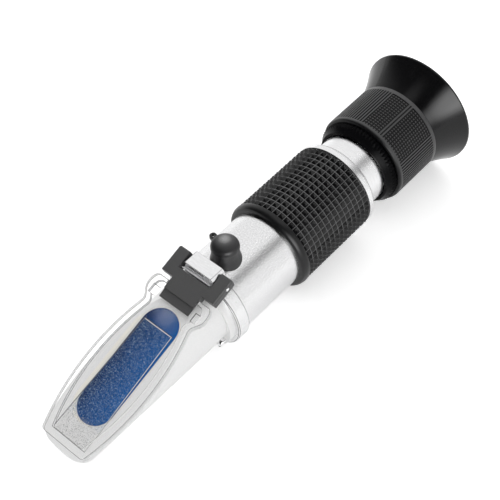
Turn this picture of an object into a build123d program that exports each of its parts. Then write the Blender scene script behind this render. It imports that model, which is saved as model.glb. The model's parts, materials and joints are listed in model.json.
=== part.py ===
from build123d import *
import os
from math import cos, pi, radians, sin, sqrt

# Hand-held optical refractometer, in millimetres. X is the optical axis with the eyepiece at +X, and the
# daylight plate is on top (+Z). The origin is on the axis, halfway between the nose and the eyecup's rim.

# Lengths along the axis, from the nose to the rim
head_length = 57.2
flange_width = 1.5
collar_width = 4.6
barrel_bare = 23.4
grip_length = 31.8
ring_width = 3.1
tube_bare = 7.3
hub_length = 23.0
cup_length = 11.3

# Clearances
seat = 0.05
running = 0.3
pin_running = 0.07

# Barrel, and what stands over it or goes into it
barrel_radius = 13.0
barrel_wall = 1.6
collar_over = 1.0
collar_step = 0.8
collar_chamfer = 0.35
grip_over = 2.2
ring_over = 1.9
ring_step = 0.6
ring_front = 1.8
socket_depth = 12.0
tube_under = 1.0
tube_wall = 1.6

# Head: a tapered round casting whose centre lies above the optical axis
head_radius = 11.2
head_taper = 0.6
head_lift = 1.3
nose_round = 3.5
shoulder_chamfer = 0.8
flange_over = 1.2
head_wall = 3.2
head_bore_depth = 24.5
spigot_length = 6.0

# O-ring on the spigot
seal_setback = 2.0
seal_bead = 0.5
groove_depth = 1.1

# Light stop in the head
stop_setback = 1.0
stop_length = 5.0
stop_wall = 1.2
stop_aperture = 4.5
stop_web = 1.0

# Side screws of the head, one each side, a little below the middle
side_setback = 3.2
side_drop = 20
side_head_radius = 1.5
side_head_height = 1.7
side_head_round = 0.5
side_head_sink = 0.4
side_shank_radius = 0.9
side_shank_length = 1.9
side_slot_width = 0.5
side_slot_depth = 0.6

# Hinge and the sloping measuring face, both placed from the pin
slope = 18.6
pin_radius = 0.75
pin_height = 2.6
pin_setback = 0.6
pin_over_face = 1.6
pin_end_chamfer = 0.2
block_front = 1.5
block_rear = 3.6
block_half = 5.7
block_over_pin = 1.8
block_bevel = 0.8

# Leaf spring on the front of the hinge block: heights below the pin, and how far it leans forward
leaf_thick = 0.3
leaf_foot_drop = 2.9
leaf_bend_drop = 1.6
leaf_lean = 0.65
leaf_half = 5.4
leaf_slot_length = 3.2
leaf_slot_height = 0.4
leaf_slot_side = 2.2

# Distances along the measuring face, from the pin towards the nose
plate_reach = 61.7
belly_reach = 38.3
waist_reach = 16.3
ear_reach = 11.0
heel_reach = 7.4
pocket_reach = 12.0
lip_reach = 12.7
arm_reach = 6.0
bridge_reach = 2.8
window_first = 47.3
window_second = 20.0
pad_tip = 59.5
pad_heel = 19.9

# Half widths across the measuring face
tip_half = 8.0
belly_half = 11.8
waist_half = 8.9
ear_half = 11.0
heel_half = 9.4
lip_half = 5.6
arm_half = 10.1
pad_tip_half = 6.4
pad_heel_half = 5.3
prism_half = 6.03

# Heights over the measuring face
pad_under = 0.2
sheet_under = 0.5
sheet_top = 1.7
rim_top = 2.7
bracket_top = 2.9

# Details of the plate and of its bracket
rim_band = 2.3
tip_round = 1.4
pocket_length = 2.8
pocket_width = 2.0
pocket_depth = 1.2
arm_tail = 2.7
arm_foot = 0.3
arm_round = 0.5
lip_step = 0.6
lip_nose = 2.7
lip_bevel = 0.35
arm_bevel = 0.45

# Prism and its seal
prism_depth = 7.0
bead_width = 0.5
bead_depth = 2.0

# Calibration screw, boss and cap
knob_setback = 6.1
boss_radius = 3.0
boss_height = 3.4
stem_radius = 2.2
screw_radius = 1.45
screw_slot_width = 0.6
screw_slot_depth = 0.7
screw_chamfer = 0.2
cap_wall = 1.0
cap_height = 7.3
cap_flare = 0.6
skirt_height = 3.2
dome_height = 2.3
crease = 0.2
tab_reach = 7.4
tab_width = 2.2
tab_thick = 1.1
tab_lift = 3.2
tab_turn = 76
tab_hole = 0.5

# Temperature compensation: frame, clamp, strip and tilting lens carrier
frame_wall = 1.15
frame_length = 21.5
frame_gap = 0.2
carrier_radius = 8.4
carrier_wall = 1.4
carrier_length = 6.0
carrier_lip = 1.0
pad_under_frame = 0.9
screw_lift = 0.35
strip_thick = 0.4
strip_width = 4.0
strip_length = 10.6
clamp_grip = 1.0
clamp_cheek = 1.2
clamp_depth = 4.0

# Glass and its holders
glass_rest = 0.25
glass_step = 1.0
objective_edge = 1.6
objective_bulge = 0.5
field_edge = 1.8
field_bulge = 0.5
eye_edge = 2.4
eye_bulge = 0.7
retainer_length = 1.6
cell_setback = 7.0
cell_length = 4.0
cell_wall = 1.9
cell_lip = 1.0
reticle_thick = 1.2

# Knurled grip: rows of square pyramids behind a smooth band
band_width = 3.0
band_round = 0.7
pyramid_rows = 14
pyramids_round = 44
pyramid_height = 0.95

# Eyepiece: focus travel each way, and where its pieces lie behind the hub's front
focus_travel = 2.0
tube_overlap = 15.3
slot_setback = 9.8
key_radius = 1.0
ocular_setback = 3.0
ocular_wall = 1.6
ocular_proud = 0.8
shoulder_gap = 1.3
shoulder_width = 1.1
hub_wall = 1.8
hub_nose = 1.0
hub_nose_wall = 0.9
hub_web = 1.2
teeth_round = 72
tooth_depth = 0.6
tooth_band = 2.6
sleeve_wall = 1.5
sleeve_front_round = 1.2
sleeve_rear_round = 0.4
neck_wall = 2.0

# Eyecup
rim_radius = 20.3
rim_width = 0.8
rim_round = 0.3
rim_wall = 0.9
cup_floor = 1.0
cup_ledge = 1.6
cup_foot_step = 0.3
cup_foot_slope = 0.36

# Stations along the axis
overall = (head_length + flange_width + collar_width + barrel_bare + grip_length
           + ring_width + tube_bare + hub_length + cup_length)
nose_x = -overall / 2
flange_x = nose_x + head_length
collar_x = flange_x + flange_width
barrel_x = collar_x + collar_width
grip_x = barrel_x + barrel_bare
ring_x = grip_x + grip_length
tube_x = ring_x + ring_width
hub_x = tube_x + tube_bare
cup_x = hub_x + hub_length
rim_x = cup_x + cup_length

# Radii that several pieces share
collar_radius = barrel_radius + collar_over
grip_radius = barrel_radius + grip_over
ring_radius = barrel_radius + ring_over
tube_radius = barrel_radius - tube_under
barrel_bore = barrel_radius - barrel_wall
spigot_radius = barrel_bore - seat
head_bore = head_radius - head_wall
tube_bore = tube_radius - tube_wall

# Hinge pin, and the plane of the measuring face below it
pin_x = collar_x + pin_setback
pin_z = collar_radius + pin_height
tilt = radians(slope)
foot_x = pin_x + pin_over_face * sin(tilt)
foot_z = pin_z - pin_over_face * cos(tilt)
face_normal = (-sin(tilt), 0, cos(tilt))
face_plane = Plane(origin=(foot_x, 0, foot_z), x_dir=(cos(tilt), 0, sin(tilt)), z_dir=face_normal)

# Calibration and compensation
boss_x = barrel_x + knob_setback
boss_top = barrel_radius + boss_height
frame_x = collar_x + spigot_length + frame_gap
frame_end = frame_x + frame_length
frame_bore = barrel_bore - seat - frame_wall
pad_top = frame_bore - pad_under_frame
carrier_x = boss_x - carrier_length / 2
carrier_end = carrier_x + carrier_length
pivot_x = carrier_end + strip_length
pivot_z = pad_top - strip_thick / 2
objective_radius = carrier_radius - carrier_wall
objective_x = carrier_x + carrier_lip + glass_rest

# Reticle, and the eyepiece's lens unit
cell_x = tube_x - cell_setback
reticle_radius = tube_bore - seat - cell_wall
slot_x = hub_x + slot_setback
focus_end = hub_x + tube_overlap
ocular_x = hub_x + ocular_setback
ocular_end = cup_x + ocular_proud
ocular_radius = tube_bore - running
glass_radius = ocular_radius - ocular_wall
field_x = ocular_x + glass_step + glass_rest
eye_end = ocular_end - retainer_length - glass_rest
eye_x = eye_end - eye_edge

# Focus ring: hub, sleeve and cup
shoulder_x = focus_end + focus_travel + shoulder_gap
web_x = shoulder_x + shoulder_width + running
neck_x = web_x + hub_web + seat
hub_bore = tube_radius + running
hub_radius = hub_bore + hub_wall
tooth_radius = hub_radius + tooth_depth
sleeve_x = hub_x + hub_nose + tooth_band + running
sleeve_radius = hub_radius + sleeve_wall
neck_bore = ocular_radius + running
neck_radius = neck_bore + neck_wall


def save(shape, name):
    export_step(shape, f"parts/{name}.step")


def rod(x0, x1, radius):
    """Cylinder along the optical axis."""
    standing = Cylinder(radius, x1 - x0, align=(Align.CENTER, Align.CENTER, Align.MIN))
    return Pos(x0, 0, 0) * Rot(0, 90, 0) * standing


def tube(x0, x1, outer, inner):
    return rod(x0, x1, outer) - rod(x0 - 1, x1 + 1, inner)


def turned(*stations):
    """Solid of revolution about the optical axis from (x, radius) corners."""
    outline = Polyline(*stations, close=True)
    return revolve(Plane.XZ * make_face(outline), Axis.X)


def post(radius, z0, z1):
    """Cylinder along +Z."""
    return Pos(0, 0, z0) * Cylinder(radius, z1 - z0, align=(Align.CENTER, Align.CENTER, Align.MIN))


def upright(x, radius, z0, z1):
    """Cylinder along +Z, standing on the optical axis at x."""
    return Pos(x, 0, 0) * post(radius, z0, z1)


def lens(x0, x1, radius, bulge):
    """Lens disc with its edge from x0 to x1, whose two faces bulge out as parts of a sphere."""
    curve = (radius ** 2 + bulge ** 2) / (2 * bulge)
    front = Pos(x0 - bulge + curve, 0, 0) * Sphere(curve)
    rear = Pos(x1 + bulge - curve, 0, 0) * Sphere(curve)
    return rod(x0 - bulge, x1 + bulge, radius) & front & rear


def on_face(sketch, low, high):
    """Extrude a sketch drawn on the measuring face, between two heights over it."""
    return face_plane * (Pos(0, 0, low) * extrude(sketch, high - low))


def slab(s0, s1, half, low, high):
    """Block in the measuring face's own frame, between two distances and two heights."""
    return Pos((s0 + s1) / 2, 0, (low + high) / 2) * Box(s1 - s0, 2 * half, high - low)


def face_box(s0, s1, half, low, high):
    return face_plane * slab(s0, s1, half, low, high)


def stadium(grow=0.0):
    """Outline of the prism's measuring face."""
    middle = -(window_first + window_second) / 2
    return Pos(middle, 0) * SlotCenterToCenter(window_first - window_second, 2 * (prism_half + grow))


# Head

def side_place(hand):
    """Frame whose +Z points out of the head along one side screw."""
    return Pos(flange_x - side_setback, 0, head_lift) * Rot(-hand * (90 + side_drop), 0, 0)


def prism_housing():
    body = Pos(0, 0, head_lift) * turned((nose_x, 0), (nose_x, head_radius - head_taper),
                                         (flange_x, head_radius), (flange_x, 0))
    rounds = body.edges().filter_by(GeomType.CIRCLE).sort_by(Axis.X)
    body = fillet(rounds[0], nose_round)
    body = chamfer(body.edges().filter_by(GeomType.CIRCLE).sort_by(Axis.X)[-1], shoulder_chamfer)
    body -= face_box(-2 * head_length, 2 * head_length, 2 * head_radius, 0, 3 * head_radius)
    body += rod(flange_x - shoulder_chamfer, collar_x, head_radius + flange_over)
    body += rod(collar_x - flange_width / 2, collar_x + spigot_length, spigot_radius)
    groove_x = collar_x + spigot_length - seal_setback
    body -= tube(groove_x - seal_bead - seat, groove_x + seal_bead + seat, spigot_radius + 1,
                 spigot_radius - groove_depth)
    body -= rod(flange_x - head_bore_depth, collar_x + spigot_length + 1, head_bore)
    body -= on_face(stadium(seat), -prism_depth - seat, 1)
    body -= on_face(stadium(bead_width), -bead_depth, 1)
    for hand in (-1, 1):
        floor = head_radius - side_head_sink
        recess = post(side_head_radius + seat, floor, 2 * head_radius)
        hole = post(side_shank_radius + seat, floor - side_shank_length - seat, floor + 1)
        body -= side_place(hand) * (recess + hole)
    return body


def measuring_prism():
    return on_face(stadium(), -prism_depth, 0)


def prism_seal():
    ring = stadium(bead_width - seat) - stadium(seat)
    return on_face(ring, -bead_depth + seat, -seat)


def housing_screws():
    pair = []
    for hand in (-1, 1):
        base = head_radius - side_head_sink
        top = base + side_head_height
        head = post(side_head_radius, base, top)
        head = fillet(head.edges().sort_by(Axis.Z)[-1], side_head_round)
        head -= Pos(0, 0, top) * Box(3 * side_head_radius, side_slot_width, 2 * side_slot_depth)
        shank = post(side_shank_radius, base - side_shank_length, base + side_head_height / 3)
        pair.append(side_place(hand) * (head + shank))
    return Compound(children=pair)


def light_stop():
    front = flange_x - stop_setback - stop_length
    outer = head_bore - seat
    ring = tube(front, front + stop_length, outer, outer - stop_wall)
    return ring + tube(front, front + stop_web, outer - stop_wall / 2, stop_aperture)


def barrel_seal():
    middle_x = collar_x + spigot_length - seal_setback
    section = Pos(middle_x, spigot_radius - seal_bead) * Circle(seal_bead)
    return revolve(Plane.XZ * section, Axis.X)


# Collar and hinge

def collar_ring():
    ring = tube(collar_x, barrel_x, collar_radius, barrel_radius - collar_step + seat)
    edges = ring.edges().filter_by(GeomType.CIRCLE).sort_by(SortBy.RADIUS)[-2:]
    return chamfer(edges, collar_chamfer)


def pin_hole(clearance):
    return Pos(pin_x, 0, pin_z) * Rot(90, 0, 0) * Cylinder(pin_radius + clearance, 4 * arm_half)


def hinge_block():
    """Block that saddles the collar, with bevelled upper side edges."""
    top = pin_z + block_over_pin
    middle = pin_x + (block_rear - block_front) / 2
    block = Pos(middle, 0, top) * Box(block_front + block_rear, 2 * block_half, top,
                                      align=(Align.CENTER, Align.CENTER, Align.MAX))
    block = chamfer(block.edges().filter_by(Axis.X).sort_by(Axis.Z)[-2:], block_bevel)
    block -= rod(pin_x - 2 * block_front, pin_x + 2 * block_rear, collar_radius)
    return block - pin_hole(seat / 2)


def hinge_pin():
    pin = Pos(pin_x, 0, pin_z) * Rot(90, 0, 0) * Cylinder(pin_radius, 2 * (arm_half - seat))
    return chamfer(pin.edges().filter_by(GeomType.CIRCLE), pin_end_chamfer)


def leaf_spring():
    """Bent leaf: a leg on the block's front face, and an arm that leans forward up to the pin's height."""
    leg_x = pin_x - block_front - leaf_thick / 2
    bend_z = pin_z - leaf_bend_drop
    path = Polyline((leg_x, pin_z - leaf_foot_drop), (leg_x, bend_z), (leg_x - leaf_lean, pin_z))
    leaf = extrude(Plane.XZ * trace(path, leaf_thick), leaf_half, both=True)
    middle = Pos(leg_x - leaf_lean / 2, leaf_slot_side, (bend_z + pin_z) / 2)
    return leaf - middle * Box(2 * leaf_lean, leaf_slot_length, leaf_slot_height)


# Cover: the daylight plate and its bracket

def plate_outline(inset=0.0):
    """Boat shape: rounded tip, arched sides, waist, and an ear each side of the bracket."""
    tip_s = -plate_reach + inset
    heel_s = -heel_reach - inset / 2
    sides = []
    for hand in (1, -1):
        tip_y = hand * (tip_half - inset)
        belly_y = hand * (belly_half - inset)
        waist_y = hand * (waist_half - inset)
        ear_y = hand * (ear_half - inset)
        heel_y = hand * (heel_half - inset)
        belly = ThreePointArc((tip_s, tip_y), (-belly_reach, belly_y), (-waist_reach, waist_y))
        flare = Spline((-waist_reach, waist_y), (-ear_reach, ear_y), tangents=((1, -0.1 * hand), (1, 0)))
        shoulder = Spline((-ear_reach, ear_y), (heel_s, heel_y), tangents=((1, 0), (0.3, -hand)))
        heel = Line((heel_s, heel_y), (heel_s, 0))
        tip = Line((tip_s, 0), (tip_s, tip_y))
        sides += [belly, flare, shoulder, heel, tip]
    outline = make_face(sides)
    corners = [corner for corner in outline.vertices().group_by(Axis.X)[0] if abs(corner.Y) > tip_half / 4]
    return fillet(corners, tip_round - inset / 3)


def pad_outline():
    tip = [(-pad_tip, -pad_tip_half), (-pad_tip, pad_tip_half)]
    heel = [(-pad_heel, pad_heel_half), (-pad_heel, -pad_heel_half)]
    return make_face(Polyline(*tip, *heel, close=True))


def daylight_plate():
    plate = on_face(plate_outline(), sheet_under, rim_top)
    plate -= on_face(plate_outline(rim_band), sheet_top, rim_top + 1)
    plate += on_face(pad_outline(), pad_under, (sheet_under + sheet_top) / 2)
    notch = lip_half + running
    plate -= face_box(-lip_reach - running, 0, notch, sheet_top, 2 * rim_top)
    for hand in (-1, 1):
        middle_y = hand * (notch + pocket_width)
        pocket = Box(pocket_length, pocket_width, 2 * pocket_depth)
        plate -= face_plane * Pos(-pocket_reach, middle_y, rim_top) * pocket
    return plate


def hinge_bracket():
    """Clip on the plate: a stepped lip, a bridge, and two arms that take the pin each side of the block."""
    step_top = bracket_top - lip_step
    lip = slab(-lip_reach, -bridge_reach, lip_half, sheet_top + seat, bracket_top)
    lip -= slab(-lip_reach - 1, -lip_reach + lip_nose, 2 * lip_half, step_top, 2 * bracket_top)
    lip = chamfer(lip.edges().filter_by(Axis.Y).group_by(Axis.X)[0].sort_by(Axis.Z)[-1], lip_bevel)
    root = slab(-heel_reach + seat, -bridge_reach, lip_half, pad_under, bracket_top)
    clip = slab(-arm_reach, arm_tail, arm_half, -arm_foot, bracket_top)
    clip -= slab(-bridge_reach, 2 * arm_tail, block_half + running, -2 * arm_foot, 2 * bracket_top)
    clip = fillet(clip.edges().filter_by(Axis.Y).group_by(Axis.X)[-1], arm_round)
    top_edges = clip.edges().filter_by(Axis.X).group_by(Axis.Z)[-1].sort_by(Axis.Y)
    clip = chamfer((top_edges[0], top_edges[-1]), arm_bevel)
    return face_plane * (lip + root + clip) - pin_hole(pin_running)


# Barrel, grip and end ring

def barrel_tube():
    body = tube(barrel_x, ring_x, barrel_radius, barrel_bore)
    body += tube(collar_x, barrel_x + collar_step, barrel_radius - collar_step, barrel_bore)
    body -= rod(ring_x - socket_depth, ring_x + 1, tube_radius + seat)
    return body - upright(boss_x, stem_radius + seat, 0, 2 * barrel_radius)


def pyramid_field(x0, x1):
    """Closed solid whose wall is rows of square pyramids, made of flat triangles."""
    root = grip_radius - pyramid_height
    pitch = (x1 - x0) / pyramid_rows
    step = 2 * pi / pyramids_round

    def point(row, column, radius):
        return Vector(x0 + row * pitch, radius * sin(column * step), radius * cos(column * step))

    faces = []
    for column in range(pyramids_round):
        for row in range(pyramid_rows):
            peak = point(row + 0.5, column + 0.5, grip_radius)
            corners = [point(row, column, root), point(row + 1, column, root),
                       point(row + 1, column + 1, root), point(row, column + 1, root)]
            for first, second in zip(corners, corners[1:] + corners[:1]):
                faces.append(Face(Wire.make_polygon([first, second, peak])))
    for row in (0, pyramid_rows):
        faces.append(Face(Wire.make_polygon([point(row, column, root) for column in range(pyramids_round)])))
    return Solid(Shell(faces))


def grip_sleeve():
    field_x = grip_x + band_width
    field = pyramid_field(field_x, ring_x - seat)
    band = rod(grip_x, field_x, grip_radius)
    band = fillet(band.edges().filter_by(GeomType.CIRCLE), band_round)
    return band + field - rod(grip_x - 1, ring_x + 1, barrel_radius + seat)


def end_ring():
    """Stepped ring that closes the barrel and the grip."""
    step_radius = ring_radius - ring_step
    ring = turned((ring_x, 0), (ring_x, ring_radius), (ring_x + ring_front, ring_radius),
                  (ring_x + ring_front, step_radius), (tube_x - ring_step, step_radius),
                  (tube_x, step_radius - ring_step), (tube_x, 0))
    return ring - rod(ring_x - 1, tube_x + 1, tube_radius + seat)


# Calibration: boss, screw and rubber cap

def saddle(radius):
    return rod(boss_x - tab_reach, boss_x + tab_reach, radius)


def calibration_boss():
    boss = upright(boss_x, boss_radius, 0, boss_top) - saddle(barrel_radius)
    boss += upright(boss_x, stem_radius, barrel_bore + seat, boss_top)
    return boss - upright(boss_x, screw_radius + seat, 0, 2 * boss_top)


def calibration_screw():
    top = boss_top - seat
    screw = upright(boss_x, screw_radius, pad_top + screw_lift, top)
    screw = chamfer(screw.edges().filter_by(GeomType.CIRCLE), screw_chamfer)
    return screw - Pos(boss_x, 0, top) * Box(3 * screw_radius, screw_slot_width, 2 * screw_slot_depth)


def calibration_cap():
    """Rubber cap: flared skirt on the barrel, waist, crease and low dome, with a holed pull tab."""
    bore = boss_radius + running
    outer = bore + cap_wall
    hem = outer + cap_flare
    crown = barrel_radius + cap_height
    crease_z = crown - dome_height
    foot = sqrt(barrel_radius ** 2 - hem ** 2)
    half = make_face([
        Line((0, crown), (0, foot)),
        Polyline((0, foot), (hem, foot), (outer - crease / 2, foot + skirt_height),
                 (outer - crease, crease_z - crease), (outer, crease_z)),
        Spline((outer, crease_z), (0, crown), tangents=((0, 1), (-1, 0))),
    ])
    cap = Pos(boss_x, 0, 0) * revolve(Plane.XZ * half, Axis.Z)
    cap -= saddle(barrel_radius + running)
    cap -= upright(boss_x, bore, 0, boss_top + running)
    arm = Pos((tab_reach + bore) / 2, 0, 0) * Box(tab_reach - bore, tab_width, tab_thick)
    arm = fillet(arm.edges().filter_by(Axis.Z).sort_by(Axis.X)[-2:], 0.45 * tab_width)
    arm -= Pos(tab_reach - tab_width / 2, 0, 0) * Cylinder(tab_hole, 2 * tab_thick)
    return cap + Pos(boss_x, 0, barrel_radius + tab_lift) * Rot(0, 0, tab_turn) * arm


# Temperature compensation in the barrel

def optical_frame():
    frame = tube(frame_x, frame_end, barrel_bore - seat, frame_bore)
    return frame - upright(boss_x, stem_radius + running, 0, 2 * barrel_radius)


def strip_clamp():
    front = pivot_x - clamp_grip
    block = Pos(front, 0, pivot_z) * Box(frame_end - front, strip_width + 2 * clamp_cheek, 2 * clamp_depth,
                                         align=(Align.MIN, Align.CENTER, Align.CENTER))
    block &= rod(front - 1, frame_end, frame_bore - seat / 2)
    return block - Pos(pivot_x, 0, pivot_z) * Box(2 * (clamp_grip + running), strip_width + 2 * running,
                                                  strip_thick + 2 * running)


def bimetal_strip():
    return Pos(carrier_end, 0, pivot_z) * Box(pivot_x - carrier_end, strip_width, strip_thick,
                                              align=(Align.MIN, Align.CENTER, Align.CENTER))


def lens_carrier():
    carrier = rod(carrier_x, carrier_end, carrier_radius)
    carrier += Pos(carrier_x, 0, pad_top) * Box(carrier_length, strip_width, pad_top - objective_radius,
                                                align=(Align.MIN, Align.CENTER, Align.MAX))
    carrier -= rod(carrier_x + carrier_lip, carrier_end + 1, objective_radius + seat)
    return carrier - rod(carrier_x - 1, carrier_end, objective_radius - glass_step)


def objective_lens():
    return lens(objective_x, objective_x + objective_edge, objective_radius, objective_bulge)


def objective_retainer():
    start = objective_x + objective_edge + glass_rest
    return tube(start, start + retainer_length, objective_radius, objective_radius - glass_step)


# Focus tube and reticle

def focus_tube():
    body = tube(ring_x - socket_depth + seat, focus_end, tube_radius, tube_bore)
    slot_width = 2 * (key_radius + running)
    slot = Pos(slot_x, 0, tube_radius) * SlotOverall(slot_width + 2 * focus_travel, slot_width)
    return body - extrude(slot, 2 * tube_wall, both=True)


def reticle_cell():
    cell = tube(cell_x, cell_x + cell_length, tube_bore - seat, reticle_radius + seat)
    return cell + tube(cell_x, cell_x + cell_lip, reticle_radius + cell_wall / 2, reticle_radius - glass_step)


def reticle():
    start = cell_x + cell_lip
    return rod(start, start + reticle_thick, reticle_radius)


def reticle_retainer():
    start = cell_x + cell_lip + reticle_thick
    return tube(start, cell_x + cell_length, reticle_radius, reticle_radius - glass_step)


# Lens unit of the eyepiece, which a key keeps from turning

def ocular_barrel():
    body = tube(ocular_x, ocular_end, ocular_radius, glass_radius + seat)
    body += tube(ocular_x, ocular_x + glass_step, ocular_radius - ocular_wall / 2, glass_radius - glass_step)
    body += tube(shoulder_x, shoulder_x + shoulder_width, tube_radius, ocular_radius - ocular_wall / 2)
    return body - upright(slot_x, key_radius + seat, 0, 2 * tube_radius)


def guide_key():
    return upright(slot_x, key_radius, glass_radius + running, tube_radius - running)


def field_lens():
    return lens(field_x, field_x + field_edge, glass_radius, field_bulge)


def lens_spacer():
    start_x = field_x + field_edge + glass_rest
    return tube(start_x, eye_x - glass_rest, glass_radius, glass_radius - glass_step)


def eye_lens():
    return lens(eye_x, eye_end, glass_radius, eye_bulge)


def lens_retainer():
    return tube(eye_end + glass_rest, ocular_end, glass_radius, glass_radius - glass_step)


# Focus ring: toothed hub, ribbed sleeve and eyecup

def toothed_ring(x0, x1):
    """Disc with a saw-toothed edge."""
    corners = []
    for tooth in range(teeth_round):
        peak = 2 * pi * tooth / teeth_round
        valley = peak + pi / teeth_round
        corners.append((tooth_radius * cos(peak), tooth_radius * sin(peak)))
        corners.append((hub_radius * cos(valley), hub_radius * sin(valley)))
    profile = make_face(Polyline(*corners, close=True))
    return Pos(x0, 0, 0) * Rot(0, 90, 0) * extrude(profile, x1 - x0)


def eyepiece_hub():
    nose_radius = hub_bore + hub_nose_wall
    tooth_x = hub_x + hub_nose
    body = rod(hub_x, cup_x, hub_radius - seat)
    body += toothed_ring(tooth_x, tooth_x + tooth_band)
    body &= turned((hub_x, 0), (hub_x, nose_radius), (tooth_x, nose_radius + hub_nose / 2),
                   (tooth_x + tooth_band / 2, tooth_radius), (cup_x, tooth_radius), (cup_x, 0))
    body -= rod(hub_x - 1, web_x, hub_bore)
    body -= rod(hub_x, cup_x + 1, neck_bore)
    return body - rod(neck_x - seat, cup_x + 1, neck_radius + seat)


def focus_sleeve():
    body = rod(sleeve_x, cup_x - seat, sleeve_radius)
    rounds = body.edges().filter_by(GeomType.CIRCLE).sort_by(Axis.X)
    body = fillet(rounds[0], sleeve_front_round)
    body = fillet(body.edges().filter_by(GeomType.CIRCLE).sort_by(Axis.X)[-1], sleeve_rear_round)
    return body - rod(sleeve_x - 1, cup_x + 1, hub_radius)


def eyecup():
    """Flared cup with a thin rim, whose neck is held in the hub."""
    foot = sleeve_radius - cup_foot_step
    floor_x = cup_x + cup_floor
    flare_x = rim_x - rim_width
    bore = neck_bore + seat
    half = make_face([
        Polyline((floor_x, bore), (neck_x, bore), (neck_x, neck_radius), (cup_x, neck_radius), (cup_x, foot)),
        TangentArc((cup_x, foot), (flare_x, rim_radius), tangent=(1, cup_foot_slope)),
        Polyline((flare_x, rim_radius), (rim_x - rim_round, rim_radius), (rim_x, rim_radius - rim_round),
                 (rim_x, rim_radius - rim_wall), (floor_x, bore + cup_ledge), (floor_x, bore)),
    ])
    return revolve(Plane.XZ * half, Axis.X)


builders = (
    prism_housing, measuring_prism, prism_seal, housing_screws, light_stop, barrel_seal,
    collar_ring, hinge_block, hinge_pin, leaf_spring, daylight_plate, hinge_bracket,
    barrel_tube, grip_sleeve, end_ring, calibration_boss, calibration_screw, calibration_cap,
    optical_frame, strip_clamp, bimetal_strip, lens_carrier, objective_lens, objective_retainer,
    focus_tube, reticle_cell, reticle, reticle_retainer,
    ocular_barrel, guide_key, field_lens, lens_spacer, eye_lens, lens_retainer,
    eyepiece_hub, focus_sleeve, eyecup,
)

os.makedirs("parts", exist_ok=True)
for builder in builders:
    save(builder(), builder.__name__)
print(f"overall length {overall:.1f}, pin at {pin_x:.2f}, {pin_z:.2f}")
print(f"strip pivot at {pivot_x:.2f}, {pivot_z:.2f}")
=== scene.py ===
import json
from math import atan2, cos, degrees, hypot, pi, radians, sin
import bmesh
import bpy
from mathutils import Matrix, Vector

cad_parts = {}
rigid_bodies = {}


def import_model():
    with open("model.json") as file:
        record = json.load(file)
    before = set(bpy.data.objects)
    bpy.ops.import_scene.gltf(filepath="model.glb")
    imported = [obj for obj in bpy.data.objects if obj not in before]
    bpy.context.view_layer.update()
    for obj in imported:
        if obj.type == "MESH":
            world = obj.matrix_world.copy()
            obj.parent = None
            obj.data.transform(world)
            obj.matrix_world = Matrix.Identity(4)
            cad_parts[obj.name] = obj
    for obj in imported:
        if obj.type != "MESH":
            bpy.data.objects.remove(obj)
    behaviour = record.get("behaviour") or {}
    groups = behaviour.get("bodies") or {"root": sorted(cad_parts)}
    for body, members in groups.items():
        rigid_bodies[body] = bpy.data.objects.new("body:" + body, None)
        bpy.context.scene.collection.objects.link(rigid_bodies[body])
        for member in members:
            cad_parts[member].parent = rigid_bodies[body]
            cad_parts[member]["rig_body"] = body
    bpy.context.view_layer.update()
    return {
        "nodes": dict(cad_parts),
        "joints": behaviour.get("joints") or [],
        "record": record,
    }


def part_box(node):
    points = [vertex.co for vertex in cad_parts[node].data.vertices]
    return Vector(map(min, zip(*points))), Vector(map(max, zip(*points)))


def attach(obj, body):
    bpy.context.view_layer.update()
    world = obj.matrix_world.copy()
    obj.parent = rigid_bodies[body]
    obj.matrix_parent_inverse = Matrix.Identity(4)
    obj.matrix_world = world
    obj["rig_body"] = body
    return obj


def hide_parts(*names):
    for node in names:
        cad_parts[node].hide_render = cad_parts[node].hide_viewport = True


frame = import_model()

mm = 0.001
weld = 0.001 * mm  # points nearer than this are one point
hair = 0.01 * mm  # what a place may be off when faces are chosen by it
print("frame loaded,", len(frame["nodes"]), "nodes")

# Places read from the frame, in metres
gripLow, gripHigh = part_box("grip_sleeve")
sleeveLow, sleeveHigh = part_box("focus_sleeve")
cupLow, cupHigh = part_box("eyecup")
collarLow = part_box("collar_ring")[0]
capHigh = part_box("calibration_cap")[1]
prismLow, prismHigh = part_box("measuring_prism")
pinPlace, screwPlace = (Vector(next(joint for joint in frame["joints"] if joint["name"] == name)["pos_m"])
                        for name in ("cover_hinge", "calibration_turn"))

# The measuring face's own directions: along it away from the nose, and out of it
faceSlope = radians(18.6)
pinRise = 1.6 * mm  # the hinge pin's axis over the face
faceAlong = Vector((cos(faceSlope), 0, sin(faceSlope)))
faceOut = Vector((-faceAlong.z, 0, faceAlong.x))
faceFoot = pinPlace - faceOut * pinRise


def faceCoords(point):  # in mm: along the face from the pin, across it, and over it
    reach = Vector(point) - faceFoot
    return reach.dot(faceAlong) / mm, point[1] / mm, reach.dot(faceOut) / mm


# Camera at the photo's place: fitted to the barrel's circles and the head's outline
cameraSetup = {
    "place": (-171.296 * mm, -162.880 * mm, 309.579 * mm),
    "right": (0.659276, -0.751066, -0.035443),
    "up": (0.608812, 0.505557, 0.61136),
    "lens": 93.19, "sensor": 36,
    "near": 0.01, "far": 20,
}


def placeCamera():
    data = bpy.data.cameras.new("photoCamera")
    camera = bpy.data.objects.new("photoCamera", data)
    bpy.context.scene.collection.objects.link(camera)
    right, up = Vector(cameraSetup["right"]), Vector(cameraSetup["up"])
    turn = Matrix((right, up, right.cross(up))).transposed().to_4x4()
    camera.matrix_world = Matrix.Translation(cameraSetup["place"]) @ turn
    data.lens, data.sensor_width = cameraSetup["lens"], cameraSetup["sensor"]
    data.clip_start, data.clip_end = cameraSetup["near"], cameraSetup["far"]
    bpy.context.scene.camera = camera


# Short ways to build node trees

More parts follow.
